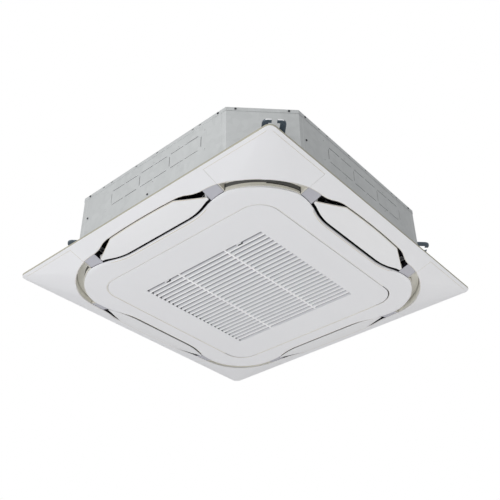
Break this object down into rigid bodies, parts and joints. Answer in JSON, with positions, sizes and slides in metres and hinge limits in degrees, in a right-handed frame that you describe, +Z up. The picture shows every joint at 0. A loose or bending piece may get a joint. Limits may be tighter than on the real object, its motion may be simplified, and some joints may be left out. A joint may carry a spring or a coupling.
{
  "type": "ceiling cassette air conditioner",
  "caption": "Ceiling cassette air conditioner: a square panel with a hinged suction grille and swinging air flaps under an eight-sided casing that hangs from corner brackets.",
  "frame": {"origin": "middle of the panel's lowest face: the ceiling plane is at z = 0.036, the panel hangs under it and the casing stands above it", "axes": "+Z up; X and Y along the panel's sides, -X towards the latched side of the grille"},
  "size_m": [0.95, 0.95, 0.254],
  "materials": {
    "panel_plastic": "moulded white plastic, fine satin grain",
    "flap_plastic": "moulded white plastic, smooth satin",
    "guide_plastic": "beige grey moulded plastic",
    "bearing_plastic": "pale lilac grey moulded plastic",
    "seal_foam": "black foam strip",
    "filter_plastic": "dark grey moulded plastic",
    "filter_net": "fine dark woven net",
    "zinc_steel": "bright zinc plated steel",
    "dark_screws": "dark plated steel",
    "liner_foam": "white expanded foam",
    "dark_plastic": "black moulded plastic",
    "fin_aluminium": "thin bright fins",
    "galvanised": "galvanised sheet steel, cool grey, soft sheen",
    "copper": "bare copper tube",
    "fan_plastic": "dark grey moulded plastic",
    "bright_steel": "bright steel",
    "motor_metal": "grey painted housing",
    "black_rubber": "black rubber",
    "board_green": "green board with dark parts",
    "pump_plastic": "white moulded plastic",
    "float_foam": "dark closed foam",
    "socket_plastic": "light grey moulded plastic",
    "brass_unions": "machined brass",
    "hanger_steel": "galvanised sheet steel, bright cut edge"
  },
  "bodies": {
    "root": {"bearing_blocks": "bearing_plastic", "bell_mouth": "dark_plastic", "cable_grommet": "black_rubber", "casing_screws": "dark_screws", "circuit_board": "board_green", "coil_end_plates": "galvanised", "coil_fins": "fin_aluminium", "coil_tubes": "copper", "control_box": "galvanised", "control_lid": "galvanised", "corner_cover_north_east": "panel_plastic", "corner_cover_north_west": "panel_plastic", "corner_cover_south_east": "panel_plastic", "corner_cover_south_west": "panel_plastic", "corner_guides": "guide_plastic", "corner_plate_north_east": "galvanised", "corner_plate_north_west": "galvanised", "corner_plate_south_east": "galvanised", "corner_plate_south_west": "galvanised", "drain_pan": "liner_foam", "drain_pump": "pump_plastic", "drain_socket": "socket_plastic", "fan_motor": "motor_metal", "flare_unions": "brass_unions", "float_switch": "pump_plastic", "foam_liner": "liner_foam", "gas_pipe": "copper", "hanger_north_east": "hanger_steel", "hanger_north_west": "hanger_steel", "hanger_south_east": "hanger_steel", "hanger_south_west": "hanger_steel", "hinge_pins": "zinc_steel", "inner_panel": "panel_plastic", "liquid_pipe": "copper", "motor_isolators": "black_rubber", "panel_frame": "panel_plastic", "panel_screws": "zinc_steel", "seal_strips": "seal_foam", "side_plate_east": "galvanised", "side_plate_north": "galvanised", "side_plate_south": "galvanised", "side_plate_west": "galvanised", "swing_motor_east": "motor_metal", "swing_motor_north": "motor_metal", "swing_motor_south": "motor_metal", "swing_motor_west": "motor_metal", "top_plate": "galvanised"},
    "grille": {"suction_grille": "panel_plastic", "filter_frame": "filter_plastic", "filter_mesh": "filter_net"},
    "latch_north": {"latch_north": "panel_plastic"},
    "latch_south": {"latch_south": "panel_plastic"},
    "fan": {"fan_wheel": "fan_plastic", "fan_shaft": "bright_steel", "hub_nut": "bright_steel"},
    "float": {"float_ring": "float_foam"},
    "flap_east": {"flap_east": "flap_plastic"},
    "flap_north": {"flap_north": "flap_plastic"},
    "flap_west": {"flap_west": "flap_plastic"},
    "flap_south": {"flap_south": "flap_plastic"}
  },
  "joints": [
    {"name": "grille_hinge", "type": "hinge", "parent": "root", "child": "grille", "pos_m": [0.3, 0, 0.006], "axis": [0, -1, 0], "range_deg": [0, 35]},
    {"name": "latch_north_slide", "type": "slide", "parent": "grille", "child": "latch_north", "axis": [1, 0, 0], "range_m": [0, 0.005]},
    {"name": "latch_south_slide", "type": "slide", "parent": "grille", "child": "latch_south", "axis": [1, 0, 0], "range_m": [0, 0.005]},
    {"name": "fan_spin", "type": "hinge", "parent": "root", "child": "fan", "pos_m": [0, 0, 0.156], "axis": [0, 0, 1], "continuous": true},
    {"name": "float_slide", "type": "slide", "parent": "root", "child": "float", "axis": [0, 0, 1], "range_m": [0, 0.008]},
    {"name": "flap_east_swing", "type": "hinge", "parent": "root", "child": "flap_east", "pos_m": [0.394, 0, 0.02], "axis": [0, 1, 0], "range_deg": [0, 40]},
    {"name": "flap_north_swing", "type": "hinge", "parent": "root", "child": "flap_north", "pos_m": [0, 0.394, 0.02], "axis": [-1, 0, 0], "range_deg": [0, 40]},
    {"name": "flap_west_swing", "type": "hinge", "parent": "root", "child": "flap_west", "pos_m": [-0.394, 0, 0.02], "axis": [0, -1, 0], "range_deg": [0, 40]},
    {"name": "flap_south_swing", "type": "hinge", "parent": "root", "child": "flap_south", "pos_m": [0, -0.394, 0.02], "axis": [1, 0, 0], "range_deg": [0, 40]}
  ]
}
